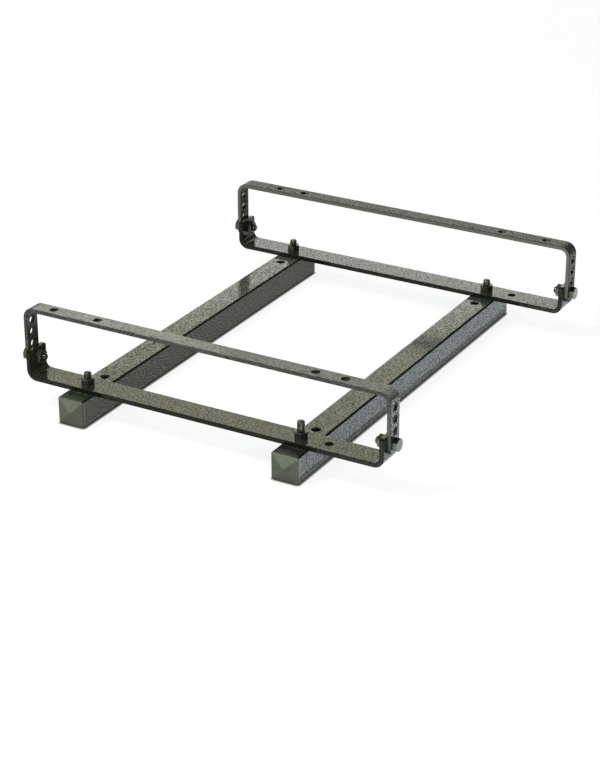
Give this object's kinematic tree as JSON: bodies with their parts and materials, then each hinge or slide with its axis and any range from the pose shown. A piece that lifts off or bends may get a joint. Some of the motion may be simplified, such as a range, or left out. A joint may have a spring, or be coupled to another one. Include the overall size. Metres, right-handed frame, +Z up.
{
  "type": "seat base adapter",
  "caption": "Floor frame that carries a vehicle seat: box tubes across the vehicle, flat bars bolted over them, and drilled rails on legs pivoted between the bars' ears.",
  "frame": {"origin": "the middle of the overall box at floor level, midway between the ears and midway between the two bars", "axes": "+X forward along the bars and rails, +Y to the left along the tubes, +Z up"},
  "size_m": [0.4316, 0.486, 0.108],
  "materials": {
    "tube_paint": "gloss",
    "bar_paint": "gloss",
    "rail_paint": "gloss",
    "fastener_steel": "satin",
    "cap_plastic": "satin"
  },
  "bodies": {
    "base": {"front_tube": "tube_paint", "rear_tube": "tube_paint", "front_left_end_cap": "cap_plastic", "front_right_end_cap": "cap_plastic", "rear_left_end_cap": "cap_plastic", "rear_right_end_cap": "cap_plastic", "right_lower_bar": "bar_paint", "left_lower_bar": "bar_paint", "right_front_tube_screw": "fastener_steel", "right_rear_tube_screw": "fastener_steel", "left_front_tube_screw": "fastener_steel", "left_rear_tube_screw": "fastener_steel", "right_tube_nuts": "fastener_steel", "left_tube_nuts": "fastener_steel", "right_side_screws": "fastener_steel", "left_side_screws": "fastener_steel", "right_side_nuts": "fastener_steel", "left_side_nuts": "fastener_steel"},
    "right_rail": {"right_upper_rail": "rail_paint"},
    "left_rail": {"left_upper_rail": "rail_paint"}
  },
  "joints": [
    {"name": "right_rail_tilt", "type": "hinge", "parent": "base", "child": "right_rail", "pos_m": [0, -0.208, 0.0525], "axis": [1, 0, 0], "range_deg": [-104, 127]},
    {"name": "left_rail_tilt", "type": "hinge", "parent": "base", "child": "left_rail", "pos_m": [0, 0.215, 0.0525], "axis": [1, 0, 0], "range_deg": [-138, 104]}
  ]
}
